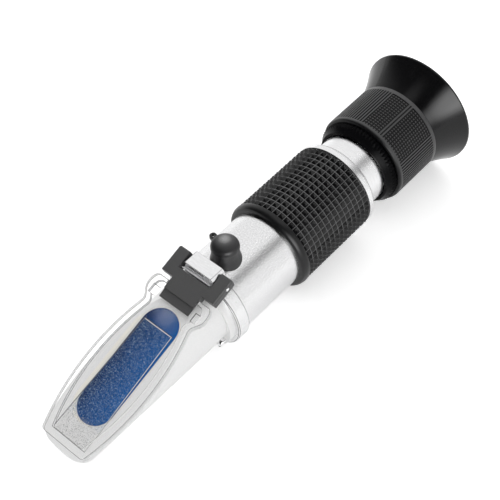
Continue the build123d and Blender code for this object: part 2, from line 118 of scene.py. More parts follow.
def put(tree, kind, **settings):  # a new node, with its sockets and its other settings by name
    node = tree.nodes.new(kind)
    for key, value in settings.items():
        socketName = key.replace("_", " ")
        if socketName in node.inputs:
            node.inputs[socketName].default_value = value
        else:
            setattr(node, key, value)
    return node


def wire(tree, *ends):  # links in pairs: from, to, from, to
    for start, end in zip(ends[::2], ends[1::2]):
        tree.links.new(start, end)


def mathNode(tree, operation, first, second=None):
    node = put(tree, "ShaderNodeMath", operation=operation)
    for socket, value in zip(node.inputs, (first, second)):
        if isinstance(value, (int, float)):
            socket.default_value = value
        elif value is not None:
            tree.links.new(value, socket)
    return node.outputs[0]


def ramp(tree, factor, *stops):
    node = put(tree, "ShaderNodeValToRGB")
    elements = node.color_ramp.elements
    while len(elements) < len(stops):
        elements.new(0.5)
    for element, (place, colour) in zip(elements, stops):
        element.position = place
        element.color = (*colour, 1) if isinstance(colour, tuple) else (colour, colour, colour, 1)
    tree.links.new(factor, node.inputs[0])
    return node.outputs[0]


def newGroup(name, inputs, outputs):
    tree = bpy.data.node_groups.new(name, "ShaderNodeTree")
    for socket, kind, value in inputs:
        added = tree.interface.new_socket(socket, in_out="INPUT", socket_type="NodeSocket" + kind)
        if value is not None:
            added.default_value = value
    for socket, kind in outputs:
        tree.interface.new_socket(socket, in_out="OUTPUT", socket_type="NodeSocket" + kind)
    return tree, put(tree, "NodeGroupInput"), put(tree, "NodeGroupOutput")


# Shared effects, each a node group built once

def aroundAxis():  # coordinates along the axis and round it, in metres
    tree, start, end = newGroup("aroundAxis", [("Vector", "Vector", None), ("Radius", "Float", 0.013)],
                                [("Vector", "Vector")])
    parts = put(tree, "ShaderNodeSeparateXYZ")
    joined = put(tree, "ShaderNodeCombineXYZ")
    wire(tree, start.outputs["Vector"], parts.inputs[0])
    angle = mathNode(tree, "ARCTAN2", parts.outputs["Y"], parts.outputs["Z"])
    arc = mathNode(tree, "MULTIPLY", angle, start.outputs["Radius"])
    wire(tree, parts.outputs["X"], joined.inputs[0], arc, joined.inputs[1], joined.outputs[0], end.inputs[0])
    return tree


def fineGrain():  # a grain's mask, and the normal of its bumps
    tree, start, end = newGroup("fineGrain", [("Vector", "Vector", None), ("Scale", "Float", 4000.0),
                                              ("Strength", "Float", 0.1), ("Distance", "Float", 0.00003)],
                                [("Mask", "Float"), ("Normal", "Vector")])
    noise = put(tree, "ShaderNodeTexNoise", Detail=3.0, Roughness=0.6)
    bump = put(tree, "ShaderNodeBump")
    wire(tree, start.outputs["Vector"], noise.inputs["Vector"], start.outputs["Scale"], noise.inputs["Scale"],
         noise.outputs[0], bump.inputs["Height"], start.outputs["Strength"], bump.inputs["Strength"],
         start.outputs["Distance"], bump.inputs["Distance"], noise.outputs[0], end.inputs["Mask"],
         bump.outputs[0], end.inputs["Normal"])
    return tree


def handling():  # broad soft patches between two values, for roughness that hands have changed
    tree, start, end = newGroup("handling", [("Vector", "Vector", None), ("Scale", "Float", 120.0),
                                             ("Low", "Float", 0.3), ("High", "Float", 0.5)],
                                [("Value", "Float")])
    noise = put(tree, "ShaderNodeTexNoise", Detail=5.0, Roughness=0.65, Distortion=0.4)
    spread = put(tree, "ShaderNodeMapRange", From_Min=0.3, From_Max=0.7)
    wire(tree, start.outputs["Vector"], noise.inputs["Vector"], start.outputs["Scale"], noise.inputs["Scale"],
         noise.outputs[0], spread.inputs["Value"], start.outputs["Low"], spread.inputs["To Min"],
         start.outputs["High"], spread.inputs["To Max"], spread.outputs[0], end.inputs["Value"])
    return tree


def brushing():  # long scratches: a mask and the normal of its grooves
    tree, start, end = newGroup("brushing", [("Vector", "Vector", None),
                                             ("Stretch", "Vector", (9000, 260, 1)),
                                             ("Strength", "Float", 0.25), ("Distance", "Float", 0.00001)],
                                [("Mask", "Float"), ("Normal", "Vector")])
    stretched = put(tree, "ShaderNodeVectorMath", operation="MULTIPLY")
    noise = put(tree, "ShaderNodeTexNoise", Scale=1.0, Detail=4.0, Roughness=0.7)
    bump = put(tree, "ShaderNodeBump")
    wire(tree, start.outputs["Vector"], stretched.inputs[0], start.outputs["Stretch"], stretched.inputs[1],
         stretched.outputs[0], noise.inputs["Vector"], noise.outputs[0], bump.inputs["Height"],
         start.outputs["Strength"], bump.inputs["Strength"],
         start.outputs["Distance"], bump.inputs["Distance"],
         noise.outputs[0], end.inputs["Mask"], bump.outputs[0], end.inputs["Normal"])
    return tree


effects = {make.__name__: make() for make in (aroundAxis, fineGrain, handling, brushing)}


def useEffect(tree, name, vector, **values):
    node = put(tree, "ShaderNodeGroup", node_tree=effects[name])
    for key, value in values.items():
        node.inputs[key].default_value = value
    tree.links.new(vector, node.inputs["Vector"])
    return node


def newMaterial(name, **shaderValues):  # with its tree, its shader and the object's own coordinates
    material = bpy.data.materials.new(name)
    material.use_nodes = True
    tree = material.node_tree
    shader = tree.nodes["Principled BSDF"]
    for key, value in shaderValues.items():
        isColour = isinstance(value, tuple) and len(value) == 3
        shader.inputs[key.replace("_", " ")].default_value = (*value, 1) if isColour else value
    coords = put(tree, "ShaderNodeTexCoord").outputs["Object"]
    return material, tree, shader, coords


def dress(tree, shader, tone, rough, bumps):
    wire(tree, tone, shader.inputs["Base Color"], rough.outputs[0], shader.inputs["Roughness"],
         bumps.outputs["Normal"], shader.inputs["Normal"])


def grainy(look, **shaderValues):  # most pieces' finish: grained colour, patchy roughness, fine bumps
    material, tree, shader, coords = newMaterial(look["name"], **shaderValues)
    place = useEffect(tree, "aroundAxis", coords).outputs[0] if look.get("turned") else coords
    grain = useEffect(tree, "fineGrain", place, Scale=look["grain"], Strength=look["bump"],
                      Distance=look["depth"])
    tone = ramp(tree, grain.outputs["Mask"], (0.3, look["dark"]), (0.7, look["light"]))
    rough = useEffect(tree, "handling", coords, Scale=look["patches"], Low=look["smooth"], High=look["rough"])
    dress(tree, shader, tone, rough, grain)
    return material


def brushed(look):  # bare metal with long scratches, which run round the axis where a radius is given
    material, tree, shader, coords = newMaterial(look["name"], Metallic=1.0)
    place = coords
    if "radius" in look:
        place = useEffect(tree, "aroundAxis", coords, Radius=look["radius"]).outputs[0]
    lines = useEffect(tree, "brushing", place, Stretch=look["stretch"], Strength=look["bump"])
    tone = ramp(tree, lines.outputs["Mask"], (0.3, look["dark"]), (0.7, look["light"]))
    rough = useEffect(tree, "handling", coords, Scale=look["patches"], Low=look["smooth"], High=look["rough"])
    dress(tree, shader, tone, rough, lines)
    return material


def blastedSilver():
    return grainy({"name": "blastedSilver", "grain": 2100.0, "bump": 0.9, "depth": 0.00005,
                   "dark": (0.71, 0.71, 0.715), "light": (0.91, 0.91, 0.915),
                   "patches": 90.0, "smooth": 0.20, "rough": 0.27, "turned": True}, Metallic=1.0)


def turnedSilver():
    return brushed({"name": "turnedSilver", "radius": 0.013, "stretch": (14000, 60, 1), "bump": 0.12,
                    "dark": (0.80, 0.80, 0.805), "light": (0.90, 0.90, 0.905),
                    "patches": 150.0, "smooth": 0.22, "rough": 0.32})


def brushedTube():
    return brushed({"name": "brushedTube", "radius": 0.012, "stretch": (9000, 260, 1), "bump": 0.3,
                    "dark": (0.76, 0.76, 0.765), "light": (0.96, 0.96, 0.965),
                    "patches": 160.0, "smooth": 0.24, "rough": 0.34})


def brightMetal():
    return brushed({"name": "brightMetal", "stretch": (1800, 400, 1800), "bump": 0.05,
                    "dark": (0.80, 0.80, 0.805), "light": (0.88, 0.88, 0.885),
                    "patches": 300.0, "smooth": 0.12, "rough": 0.22})


# Cream sealant on the head: the band past the prism's edge, how far its line lies towards +Y, and how
# far short of the prism's upper end it stops, in mm
sealantBand = {"from": 0.45, "to": 0.85, "shift": 0.9, "short": 4.5, "colour": (0.97, 0.945, 0.87)}


def castWhite():  # pale cast metal, with the band of sealant along the prism and round its lower end
    material, tree, shader, coords = newMaterial("castWhite", Metallic=0.1)
    radius = (prismHigh.y - prismLow.y) / 2
    low = Vector((prismLow.x + radius * cos(faceSlope), sealantBand["shift"] * mm, 0))
    high = Vector((prismHigh.x - radius - sealantBand["short"] * mm, sealantBand["shift"] * mm, 0))
    low.z, high.z = (faceFoot.z + (end.x - faceFoot.x) * faceAlong.z / faceAlong.x for end in (low, high))
    parts = put(tree, "ShaderNodeSeparateXYZ")
    nearest = put(tree, "ShaderNodeMapRange", From_Min=low.x, From_Max=high.x)  # 0 to 1 from low to high
    middle = put(tree, "ShaderNodeMix", data_type="VECTOR")
    middle.inputs[4].default_value, middle.inputs[5].default_value = low, high
    apart = put(tree, "ShaderNodeVectorMath", operation="DISTANCE")
    band = put(tree, "ShaderNodeMapRange", interpolation_type="SMOOTHSTEP",
               From_Min=radius + sealantBand["to"] * mm, From_Max=radius + sealantBand["from"] * mm)
    wire(tree, coords, parts.inputs[0], parts.outputs["X"], nearest.inputs["Value"], nearest.outputs[0],
         middle.inputs[0], coords, apart.inputs[0], middle.outputs[1], apart.inputs[1],
         apart.outputs["Value"], band.inputs["Value"])
    grain = useEffect(tree, "fineGrain", coords, Scale=2600.0, Strength=0.12, Distance=0.00002)
    rough = useEffect(tree, "handling", coords, Scale=70.0, Low=0.34, High=0.44)
    metal = ramp(tree, grain.outputs["Mask"], (0.3, (0.885, 0.885, 0.885)), (0.7, (0.95, 0.95, 0.948)))
    tone = put(tree, "ShaderNodeMix", data_type="RGBA")
    tone.inputs[7].default_value = (*sealantBand["colour"], 1)
    wire(tree, band.outputs[0], tone.inputs[0], metal, tone.inputs[6])
    dress(tree, shader, tone.outputs[2], rough, grain)
    return material


def gripRubber():
    return grainy({"name": "gripRubber", "grain": 5000.0, "bump": 0.15, "depth": 0.00002,
                   "dark": (0.003, 0.003, 0.0035), "light": (0.006, 0.006, 0.0065),
                   "patches": 140.0, "smooth": 0.26, "rough": 0.36}, Specular_IOR_Level=0.35)


def leafMetal():
    return grainy({"name": "leafMetal", "grain": 2500.0, "bump": 0.05, "depth": 0.00002,
                   "dark": (0.74, 0.74, 0.75), "light": (0.86, 0.86, 0.87),
                   "patches": 300.0, "smooth": 0.28, "rough": 0.40}, Metallic=0.2)


def sealBead():
    return grainy({"name": "sealBead", "grain": 2200.0, "bump": 0.15, "depth": 0.00002,
                   "dark": (0.84, 0.82, 0.78), "light": (0.92, 0.905, 0.87),
                   "patches": 260.0, "smooth": 0.5, "rough": 0.65})


def unevenly(tree, amount, grain):  # broken up by the grain, so that painted highlight and shade have no clean border
    return mathNode(tree, "MULTIPLY", amount, mathNode(tree, "ADD", grain.outputs["Mask"], 0.5))


def raisedRubber(look, stops):  # its tone, painted light and shade, goes by how far it stands from the axis, from low to high in mm
    material, tree, shader, coords = newMaterial(look["name"], Specular_IOR_Level=look["shine"])
    across = put(tree, "ShaderNodeVectorMath", operation="MULTIPLY")
    across.inputs[1].default_value = (0, 1, 1)
    outward = put(tree, "ShaderNodeVectorMath", operation="LENGTH")
    raised = put(tree, "ShaderNodeMapRange", From_Min=look["low"] * mm, From_Max=look["high"] * mm)
    grain = useEffect(tree, "fineGrain", coords, Scale=5000.0, Strength=0.15, Distance=0.00002)
    rough = useEffect(tree, "handling", coords, Scale=140.0, Low=look["smooth"], High=look["rough"])
    wire(tree, coords, across.inputs[0], across.outputs[0], outward.inputs[0],
         outward.outputs["Value"], raised.inputs["Value"])
    dress(tree, shader, ramp(tree, unevenly(tree, raised.outputs[0], grain), *stops), rough, grain)
    return material


def studdedRubber():  # painted shade, black in the grooves, and a painted highlight, paler on the raised studs
    return raisedRubber({"name": "studdedRubber", "shine": 0.3, "low": 15.32, "high": 15.59,
                         "smooth": 0.34, "rough": 0.46},
                        [(0.1, (0.001, 0.001, 0.0015)), (0.5, (0.012, 0.012, 0.013)),
                         (1.0, (0.066, 0.066, 0.067))])


def knurledRubber():  # pale lines along the groove floors, a painted highlight; black pyramids, painted paler at their tips
    return raisedRubber({"name": "knurledRubber", "shine": 0.42, "low": 14.2, "high": 15.15,
                         "smooth": 0.20, "rough": 0.30},
                        [(0.04, (0.13, 0.13, 0.132)), (0.10, (0.001, 0.001, 0.0015)),
                         (0.60, (0.004, 0.004, 0.0045)), (1.0, (0.013, 0.013, 0.0135))])


capHighlight = {"behind": 0.9, "aside": 0.8, "reach": 3.6}  # the painted highlight's centre, from the screw's axis, and its reach, in mm


def capRubber():  # a painted highlight, pale on the crown
    material, tree, shader, coords = newMaterial("capRubber", Specular_IOR_Level=0.5)
    apart = put(tree, "ShaderNodeVectorMath", operation="DISTANCE")
    apart.inputs[1].default_value = (screwPlace.x + capHighlight["behind"] * mm, capHighlight["aside"] * mm, capHigh.z)
    crown = put(tree, "ShaderNodeMapRange", interpolation_type="SMOOTHSTEP",
                From_Min=capHighlight["reach"] * mm, From_Max=0.0)
    grain = useEffect(tree, "fineGrain", coords, Scale=3200.0, Strength=0.25, Distance=0.00003)
    rough = useEffect(tree, "handling", coords, Scale=200.0, Low=0.36, High=0.46)
    wire(tree, coords, apart.inputs[0], apart.outputs["Value"], crown.inputs["Value"])
    tone = ramp(tree, unevenly(tree, crown.outputs[0], grain), (0.0, (0.014, 0.014, 0.015)),
                (0.4, (0.060, 0.060, 0.061)), (1.0, (0.30, 0.30, 0.301)))
    dress(tree, shader, tone, rough, grain)
    return material


def bracketPlastic():
    return grainy({"name": "bracketPlastic", "grain": 7000.0, "bump": 0.3, "depth": 0.00002,
                   "dark": (0.060, 0.060, 0.061), "light": (0.082, 0.082, 0.083),
                   "patches": 180.0, "smooth": 0.46, "rough": 0.56})


def hubPlastic():
    return grainy({"name": "hubPlastic", "grain": 6000.0, "bump": 0.1, "depth": 0.00002,
                   "dark": (0.002, 0.002, 0.0025), "light": (0.005, 0.005, 0.0055),
                   "patches": 150.0, "smooth": 0.22, "rough": 0.30}, Specular_IOR_Level=0.05)


def cupGloss():
    return grainy({"name": "cupGloss", "grain": 900.0, "bump": 0.02, "depth": 0.00003,
                   "dark": (0.003, 0.003, 0.0035), "light": (0.005, 0.005, 0.0055),
                   "patches": 60.0, "smooth": 0.12, "rough": 0.18}, Specular_IOR_Level=0.33)


def edgeMetal():  # a thin dark line along a turned edge, painted shade
    return grainy({"name": "edgeMetal", "grain": 4000.0, "bump": 0.1, "depth": 0.00002,
                   "dark": (0.14, 0.14, 0.142), "light": (0.22, 0.22, 0.222),
                   "patches": 200.0, "smooth": 0.34, "rough": 0.44}, Metallic=0.6)


def innerBlack():
    return grainy({"name": "innerBlack", "grain": 3000.0, "bump": 0.2, "depth": 0.00003,
                   "dark": (0.010, 0.010, 0.011), "light": (0.020, 0.020, 0.021),
                   "patches": 120.0, "smooth": 0.6, "rough": 0.75})


def brassMetal():
    return grainy({"name": "brassMetal", "grain": 3000.0, "bump": 0.1, "depth": 0.00002,
                   "dark": (0.62, 0.46, 0.20), "light": (0.78, 0.62, 0.32),
                   "patches": 250.0, "smooth": 0.25, "rough": 0.4}, Metallic=1.0)


prismShade = {"side": 6.0, "slant": 0.7, "cloud": 0.4}  # the half width of its painted shade in mm, then two weights


def bluePrism():  # painted shade, darker on the +Y side, and a little cloudy
    material, tree, shader, coords = newMaterial("bluePrism", Specular_IOR_Level=0.2)
    parts = put(tree, "ShaderNodeSeparateXYZ")
    cloud = put(tree, "ShaderNodeTexNoise", Scale=110.0, Detail=2.0, Roughness=0.5)
    side = prismShade["side"] * mm
    across = put(tree, "ShaderNodeMapRange", From_Min=side, From_Max=-side)
    wire(tree, coords, parts.inputs[0], coords, cloud.inputs["Vector"],
         parts.outputs["Y"], across.inputs["Value"])
    shade = mathNode(tree, "ADD", mathNode(tree, "MULTIPLY", across.outputs[0], prismShade["slant"]),
                     mathNode(tree, "MULTIPLY", cloud.outputs[0], prismShade["cloud"]))
    tone = ramp(tree, shade, (0.15, (0.004, 0.014, 0.065)), (0.45, (0.003, 0.050, 0.20)),
                (0.9, (0.006, 0.105, 0.37)))
    rough = useEffect(tree, "handling", coords, Scale=200.0, Low=0.04, High=0.08)
    wire(tree, tone, shader.inputs["Base Color"], rough.outputs[0], shader.inputs["Roughness"])
    return material


def letLightThrough(tree, shader):  # clear plastic casts no hard shadow on what is under it
    path = put(tree, "ShaderNodeLightPath")
    passing = mathNode(tree, "MAXIMUM", path.outputs["Is Shadow Ray"], path.outputs["Is Diffuse Ray"])
    through = put(tree, "ShaderNodeBsdfTransparent", Color=(0.97, 0.97, 0.97, 1))
    mix = put(tree, "ShaderNodeMixShader")
    wire(tree, passing, mix.inputs[0], shader.outputs[0], mix.inputs[1], through.outputs[0], mix.inputs[2],
         mix.outputs[0], tree.nodes["Material Output"].inputs["Surface"])


def clearPlastic(name="clearPlastic", tint=(0.985, 0.983, 0.982), smooth=0.02, rough=0.06, clarity=1.0):
    material, tree, shader, coords = newMaterial(name, Transmission_Weight=clarity, IOR=1.46, Base_Color=tint)
    blotches = useEffect(tree, "handling", coords, Scale=150.0, Low=smooth, High=rough)
    wave = useEffect(tree, "fineGrain", coords, Scale=240.0, Strength=0.03, Distance=0.0002)
    wire(tree, blotches.outputs[0], shader.inputs["Roughness"], wave.outputs["Normal"], shader.inputs["Normal"])
    letLightThrough(tree, shader)
    return material


def lensGlass():
    material, tree, shader, coords = newMaterial("lensGlass", Transmission_Weight=1.0, IOR=1.52,
                                                 Base_Color=(0.97, 0.98, 0.99))
    rough = useEffect(tree, "handling", coords, Scale=300.0, Low=0.0, High=0.02)
    wire(tree, rough.outputs[0], shader.inputs["Roughness"])
    return material


frostFade = 1.5  # mm of the frosting, past the prism's lower end, over which its painted blue goes


def frostSpeckle():  # frosting, with the light the prism sends up through it painted in as blue over the prism
    material, tree, shader, coords = newMaterial("frostSpeckle", Roughness=0.6)
    fine = put(tree, "ShaderNodeTexNoise", Scale=4200.0, Detail=2.0, Roughness=0.7)
    broad = put(tree, "ShaderNodeTexNoise", Scale=1500.0, Detail=1.0)
    wire(tree, coords, fine.inputs["Vector"], coords, broad.inputs["Vector"])
    cover = ramp(tree, fine.outputs[0], (0.54, 0.01), (0.68, 0.80))
    blue = ramp(tree, broad.outputs[0], (0.40, (0.08, 0.18, 0.36)), (0.60, (0.42, 0.62, 0.92)))
    grey = ramp(tree, broad.outputs[0], (0.40, (0.36, 0.36, 0.36)), (0.60, (0.88, 0.88, 0.88)))
    parts = put(tree, "ShaderNodeSeparateXYZ")
    past = put(tree, "ShaderNodeMapRange", From_Min=prismLow.x, From_Max=prismLow.x + frostFade * mm)
    tone = put(tree, "ShaderNodeMix", data_type="RGBA")
    wire(tree, coords, parts.inputs[0], parts.outputs["X"], past.inputs["Value"],
         past.outputs[0], tone.inputs[0], grey, tone.inputs[6], blue, tone.inputs[7],
         cover, shader.inputs["Alpha"], tone.outputs[2], shader.inputs["Base Color"])
    return material


# A white strip along the frosted pad's edge: a painted highlight, standing in for the bright line of light
# there
def padEdge():
    material, tree, shader, coords = newMaterial("padEdge", Roughness=0.4)
    blotches = put(tree, "ShaderNodeTexNoise", Scale=900.0, Detail=2.0)
    wire(tree, coords, blotches.inputs["Vector"])
    cover = ramp(tree, blotches.outputs[0], (0.3, 0.88), (0.55, 1.0))
    tone = ramp(tree, blotches.outputs[0], (0.3, (0.93, 0.94, 0.92)), (0.7, (1.0, 1.0, 0.97)))
    wire(tree, cover, shader.inputs["Alpha"], tone, shader.inputs["Base Color"])
    return material


finishes = {
    "cast_white": castWhite(), "barrel_silver": blastedSilver(), "bright_metal": brightMetal(),
    "steel": brushedTube(), "black_plastic": bracketPlastic(), "black_metal": innerBlack(),
    "black_gloss": cupGloss(), "black_rubber": gripRubber(), "blue_glass": bluePrism(),
    "clear_plastic": clearPlastic(), "lens_glass": lensGlass(), "brass": brassMetal(),
}
ownFinish = {
    "collar_ring": turnedSilver(), "end_ring": turnedSilver(), "eyepiece_hub": hubPlastic(),
    "calibration_cap": capRubber(), "housing_screws": brightMetal(), "hinge_pin": brightMetal(),
    "prism_seal": sealBead(),
}
slotOf = {part["node"]: part["material_slot"] for part in frame["record"]["subparts"]}
for nodeName, thing in frame["nodes"].items():
    thing.data.materials.clear()
    thing.data.materials.append(ownFinish.get(nodeName, finishes[slotOf[nodeName]]))
print("finishes on", len(frame["nodes"]), "nodes")


# Short ways to model

def clearSelection():
    bpy.ops.object.select_all(action="DESELECT")


def pick(piece):
    clearSelection()
    piece.select_set(True)
    bpy.context.view_layer.objects.active = piece


def intoEdit(piece):
    pick(piece)
    bpy.ops.object.mode_set(mode="EDIT")


def outOfEdit():
    bpy.ops.object.mode_set(mode="OBJECT")


def choose(piece, kind, rule):  # selects the faces, edges or verts that the rule takes, and counts them
    bpy.ops.mesh.select_mode(type={"faces": "FACE", "edges": "EDGE", "verts": "VERT"}[kind])
    bpy.ops.mesh.select_all(action="DESELECT")
    mesh = bmesh.from_edit_mesh(piece.data)
    taken = [item for item in getattr(mesh, kind) if rule(item)]
    for item in taken:
        item.select_set(True)
    bmesh.update_edit_mesh(piece.data)
    return len(taken)


def finishChosen(index):  # the selected faces take the piece's material of that number
    bpy.context.object.active_material_index = index
    bpy.ops.object.material_slot_assign()


def smooth(piece, angle, weigh=False):
    pick(piece)
    bpy.ops.object.shade_smooth_by_angle(angle=radians(angle))
    if weigh:  # flat faces stay flat beside their rounded edges
        weighing = piece.modifiers.new("weighing", "WEIGHTED_NORMAL")
        weighing.keep_sharp = True
        bpy.ops.object.modifier_apply(modifier="weighing")


def turnOnAxis(name, columns, stations):  # closed ring grown through (x, radius) stations in metres
    clearSelection()
    x, radius = stations[0]
    bpy.ops.mesh.primitive_circle_add(vertices=columns, radius=radius, location=(x, 0, 0),
                                      rotation=(0, pi / 2, 0))
    piece = bpy.context.object
    piece.name = piece.data.name = name
    bpy.ops.object.transform_apply(location=True, rotation=True, scale=True)
    intoEdit(piece)
    bpy.ops.mesh.select_mode(type="VERT")
    bpy.ops.mesh.select_all(action="SELECT")
    for nextX, nextRadius in stations[1:]:
        bpy.ops.mesh.extrude_region_move(TRANSFORM_OT_translate={"value": (nextX - x, 0, 0)})
        grow = nextRadius / radius
        bpy.ops.transform.resize(value=(1, grow, grow), center_override=(nextX, 0, 0))
        x, radius = nextX, nextRadius
    bpy.ops.mesh.select_all(action="SELECT")
    bpy.ops.mesh.remove_doubles(threshold=weld)
    bpy.ops.mesh.normals_make_consistent(inside=False)
    outOfEdit()
    return piece


def copyNode(node, name):  # a node's mesh as a piece of its own, merged and cleaned
    piece = bpy.data.objects.new(name, frame["nodes"][node].data.copy())
    piece.data.name = name
    bpy.context.scene.collection.objects.link(piece)
    intoEdit(piece)
    bpy.ops.mesh.select_all(action="SELECT")
    bpy.ops.mesh.remove_doubles(threshold=weld)
    bpy.ops.mesh.customdata_custom_splitnormals_clear()
    bpy.ops.mesh.dissolve_limited(angle_limit=radians(0.8))
    outOfEdit()
    return piece


def softenEdges(piece, width, sharp, segments, finish=-1):  # finish: the new faces' material, or -1
    intoEdit(piece)
    bpy.ops.mesh.select_mode(type="EDGE")
    bpy.ops.mesh.select_all(action="DESELECT")
    bpy.ops.mesh.edges_select_sharp(sharpness=radians(sharp))
    bpy.ops.mesh.bevel(offset=width, segments=segments, profile=0.6, affect="EDGES",
                       clamp_overlap=True, material=finish)
    outOfEdit()


def around(point):  # degrees round the axis from +Z towards +Y
    return degrees(atan2(point[1], point[2]))


# Grip: rows of raised pyramids between narrow grooves, behind a rounded band

gripShape = {
    "columns": 44, "rows": 14, "bore": 13.06, "root": 14.25,
    "band": [(0, 13.9), (0.10, 14.3), (0.40, 14.72), (0.95, 15.02), (1.6, 15.17), (2.3, 15.2), (2.65, 15.1),
             (2.85, 14.8), (3.0, 14.25)],
    "groove": 0.09,  # half of a groove's width
    "side": 0.76, "rise": 0.86,  # how far a pyramid's sides run in and up
}


def buildGrip():
    front, rear = gripLow.x, gripHigh.x
    fieldStart = front + gripShape["band"][-1][0] * mm
    pitch = (rear - fieldStart) / gripShape["rows"]
    root, bore = gripShape["root"] * mm, gripShape["bore"] * mm
    stations = [(front, bore)] + [(front + x * mm, radius * mm) for x, radius in gripShape["band"]]
    stations += [(fieldStart + pitch * row, root) for row in range(1, gripShape["rows"] + 1)]
    stations += [(rear, bore), (front, bore)]
    grip = turnOnAxis("gripRubberSleeve", gripShape["columns"], stations)
    intoEdit(grip)

    def isField(face):
        middle = face.calc_center_median()
        return fieldStart < middle.x < rear - hair and hypot(middle.y, middle.z) > (root + bore) / 2

    grip.data.materials.append(finishes["black_rubber"])
    grip.data.materials.append(knurledRubber())
    count = choose(grip, "faces", isField)
    finishChosen(1)
    bpy.ops.mesh.inset(thickness=gripShape["groove"] * mm, depth=0, use_individual=True)
    bpy.ops.mesh.inset(thickness=gripShape["side"] * mm, depth=gripShape["rise"] * mm, use_individual=True)
    outOfEdit()
    smooth(grip, angle=25)
    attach(grip, "frame")
    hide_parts("grip_sleeve")
    print("grip with", count, "pyramids")


# Focus sleeve: fields of ribs and of small square studs

sleeveShape = {
    "columns": 192, "patternStart": 1.6, "patternLength": 15.8, "studRows": 16,
    "sunk": 0.30, "edge": 0.05, "bore": 14.12, "outer": 15.6,
    "front": [(0, 14.6), (0.10, 14.98), (0.32, 15.3), (0.7, 15.52), (1.15, 15.6)],
    "rear": [(0.45, 15.6), (0.15, 15.5), (0, 15.3)],  # measured back from the end
    "period": 120, "first": 5.625,  # degrees: how often the fields repeat, and where they start
    "fields": [(22.5, "studs"), (7.5, "ribs"), (37.5, "studs"), (52.5, "ribs")],
}


def buildSleeve():
    start, end = sleeveLow.x, sleeveHigh.x
    patternStart = start + sleeveShape["patternStart"] * mm
    rows = 2 * sleeveShape["studRows"]
    step = sleeveShape["patternLength"] * mm / rows
    outer, bore = sleeveShape["outer"] * mm, sleeveShape["bore"] * mm
    stations = [(start, bore)] + [(start + x * mm, radius * mm) for x, radius in sleeveShape["front"]]
    stations += [(patternStart + step * row, outer) for row in range(rows + 1)]
    stations += [(end - x * mm, radius * mm) for x, radius in sleeveShape["rear"]]
    stations += [(end, bore), (start, bore)]
    sleeve = turnOnAxis("focusRubberSleeve", sleeveShape["columns"], stations)
    columnAngle = 360 / sleeveShape["columns"]

    def isLow(face):
        middle = face.calc_center_median()
        row = int((middle.x - patternStart) // step)
        if hypot(middle.y, middle.z) < (outer + bore) / 2 or not 0 <= row < rows:
            return False
        turn = (sleeveShape["first"] - around(middle)) % sleeveShape["period"]
        column = int(turn // columnAngle)
        if column % 2 == 0:
            return True
        for width, kind in sleeveShape["fields"]:
            if turn < width:
                return kind == "studs" and row % 2 == 1
            turn -= width
        return False

    intoEdit(sleeve)
    count = choose(sleeve, "faces", isLow)
    depth = 1 - sleeveShape["sunk"] * mm / outer
    bpy.ops.mesh.extrude_region_move(TRANSFORM_OT_translate={"value": (0, 0, 0)})
    bpy.ops.transform.resize(value=(1, depth, depth), center_override=(0, 0, 0))
    outOfEdit()
    softenEdges(sleeve, sleeveShape["edge"] * mm, sharp=60, segments=1)
    smooth(sleeve, angle=25)
    sleeve.data.materials.append(studdedRubber())
    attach(sleeve, "focus_ring")
    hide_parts("focus_sleeve")
    print("focus sleeve with", count, "sunk faces")


# Pieces whose CAD shape is right and only wants its edges rounded over

lipShape = {"start": -12.0, "over": 2.0, "drop": 0.40}  # the clip's stepped lip, which slopes down to its end


def slopeLip(piece):
    intoEdit(piece)

    def isLipTop(vert):
        reach, _, height = faceCoords(vert.co)
        return reach < lipShape["start"] and height > lipShape["over"]

    choose(piece, "verts", isLipTop)
    bpy.ops.transform.translate(value=-faceOut * lipShape["drop"] * mm)
    outOfEdit()


def bodyOf(node):
    return frame["nodes"][node]["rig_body"]


# An "edge" finish tints a piece's bevels dark: painted shade along its edges
softened = {
    "hinge_bracket": {"width": 0.16, "name": "bracketClip", "edge": innerBlack()},
    "hinge_block": {"width": 0.10, "name": "hingeBlock", "edge": edgeMetal()},
    "collar_ring": {"width": 0.11, "name": "collarRing", "edge": edgeMetal()},
    "end_ring": {"width": 0.08, "name": "endRing", "edge": edgeMetal()},
    "housing_screws": {"width": 0.06, "name": "sideScrews"},
    "calibration_cap": {"width": 0.12, "name": "calibrationCap", "sharp": 40},
    "eyepiece_hub": {"width": 0.05, "name": "eyepieceHub", "sharp": 40, "segments": 1},
}


def buildSoftened():
    for node, shape in softened.items():
        piece = copyNode(node, shape["name"])
        if node == "hinge_bracket":
            slopeLip(piece)
        edgeFinish = -1
        if "edge" in shape:
            piece.data.materials.append(shape["edge"])
            edgeFinish = 1
        softenEdges(piece, shape["width"] * mm, shape.get("sharp", 30), shape.get("segments", 2), edgeFinish)
        smooth(piece, angle=30, weigh=True)
        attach(piece, bodyOf(node))
        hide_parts(node)
    print("softened", len(softened), "pieces")


# Leaf spring: a leg down the block's face and an arm that leans forward, with a long slot

leafShape = {
    "front": 1.53, "half": 5.3, "thick": 0.22,  # the leg's place before the pin, half its width, its gauge
    "foot": -2.9, "bend": -0.75, "top": 0.25,  # heights over the pin
    "lean": 0.92,  # how far the arm leans forward
    "slot": (-1.6, 4.3), "slotPart": (0.45, 0.70),  # the slot's ends across, and its shares of the arm
    "edge": 0.05,
}


